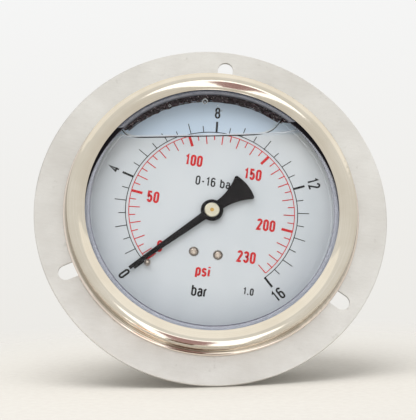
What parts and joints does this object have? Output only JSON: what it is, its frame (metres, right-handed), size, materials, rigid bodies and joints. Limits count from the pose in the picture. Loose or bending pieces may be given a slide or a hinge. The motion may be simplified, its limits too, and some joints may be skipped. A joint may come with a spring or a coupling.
{
  "type": "pressure gauge",
  "caption": "Liquid-filled Bourdon pressure gauge with a slotted front flange, bayonet bezel, geared pointer movement and rear threaded stem.",
  "frame": {"origin": "centre of the flange's rear face, on the dial's axis", "axes": "+Y out of the flange's rear face into the panel, so the dial faces -Y; +Z towards the dial's 12 o'clock; +X to the reader's right"},
  "size_m": [0.132, 0.0791, 0.132],
  "materials": {
    "flange_steel": "satin pressed stainless steel",
    "case_steel": "satin drawn stainless steel",
    "bezel_steel": "polished stainless steel",
    "window_glass": "clear flat glass",
    "washer_clear": "clear flexible plastic",
    "gasket_rubber": "black rubber",
    "dial_white": "matt white dial paint on aluminium",
    "screw_steel": "plated steel",
    "plug_rubber": "black rubber",
    "socket_steel": "turned stainless steel",
    "seal_rubber": "black rubber",
    "brass": "turned brass",
    "tube_steel": "drawn stainless tube",
    "movement_steel": "stamped stainless steel",
    "spring_bronze": "spring bronze strip",
    "pointer_black": "black lacquered aluminium",
    "hub_cream": "bare aluminium"
  },
  "bodies": {
    "gauge": {"front_flange": "flange_steel", "case_shell": "case_steel", "bezel_ring": "bezel_steel", "window": "window_glass", "window_washer": "washer_clear", "window_gasket": "gasket_rubber", "dial": "dial_white", "dial_screws": "screw_steel", "dial_posts": "movement_steel", "stop_pin": "screw_steel", "filler_plug": "plug_rubber", "socket": "socket_steel", "socket_seal": "seal_rubber", "socket_screws": "screw_steel", "throttle_screw": "brass", "bourdon_tube": "tube_steel", "movement_front_plate": "movement_steel", "movement_back_plate": "movement_steel", "movement_pillars": "brass", "plate_screws": "screw_steel", "movement_screws": "screw_steel", "hairspring": "spring_bronze", "hairspring_stud": "brass"},
    "pointer": {"pinion_arbor": "brass", "hairspring_collet": "brass", "pointer_hub": "hub_cream", "pointer_blade": "pointer_black"},
    "sector": {"sector_gear": "movement_steel", "sector_arbor": "screw_steel", "sector_pin": "screw_steel"},
    "tube_tip": {"tube_end_piece": "socket_steel", "tip_pin": "screw_steel"},
    "link": {"connecting_link": "movement_steel"}
  },
  "joints": [
    {"name": "pointer_turn", "type": "hinge", "parent": "gauge", "child": "pointer", "pos_m": [0, 0, 0], "axis": [0, 1, 0], "range_deg": [0, 270], "stiffness_Nm_per_rad": 0.000001, "deforming": ["hairspring"]},
    {"name": "sector_turn", "type": "hinge", "parent": "gauge", "child": "sector", "pos_m": [0.01119, 0.0085, -0.01597], "axis": [0, -1, 0], "range_deg": [0, 22.5]},
    {"name": "tube_tip_flex", "type": "hinge", "parent": "gauge", "child": "tube_tip", "pos_m": [-0.00324, 0.011, 0.0089], "axis": [0, -1, 0], "range_deg": [0, 5.66], "deforming": ["bourdon_tube"]},
    {"name": "link_swing", "type": "hinge", "parent": "tube_tip", "child": "link", "pos_m": [0.02526, 0.0097, -0.01138], "axis": [0, 1, 0], "range_deg": [0, 7.51]}
  ],
  "couplings": [
    {"joint": "sector_turn", "follows": "pointer_turn", "ratio": 0.083333},
    {"joint": "tube_tip_flex", "follows": "pointer_turn", "ratio": 0.020963},
    {"joint": "link_swing", "follows": "pointer_turn", "ratio": 0.0278}
  ]
}
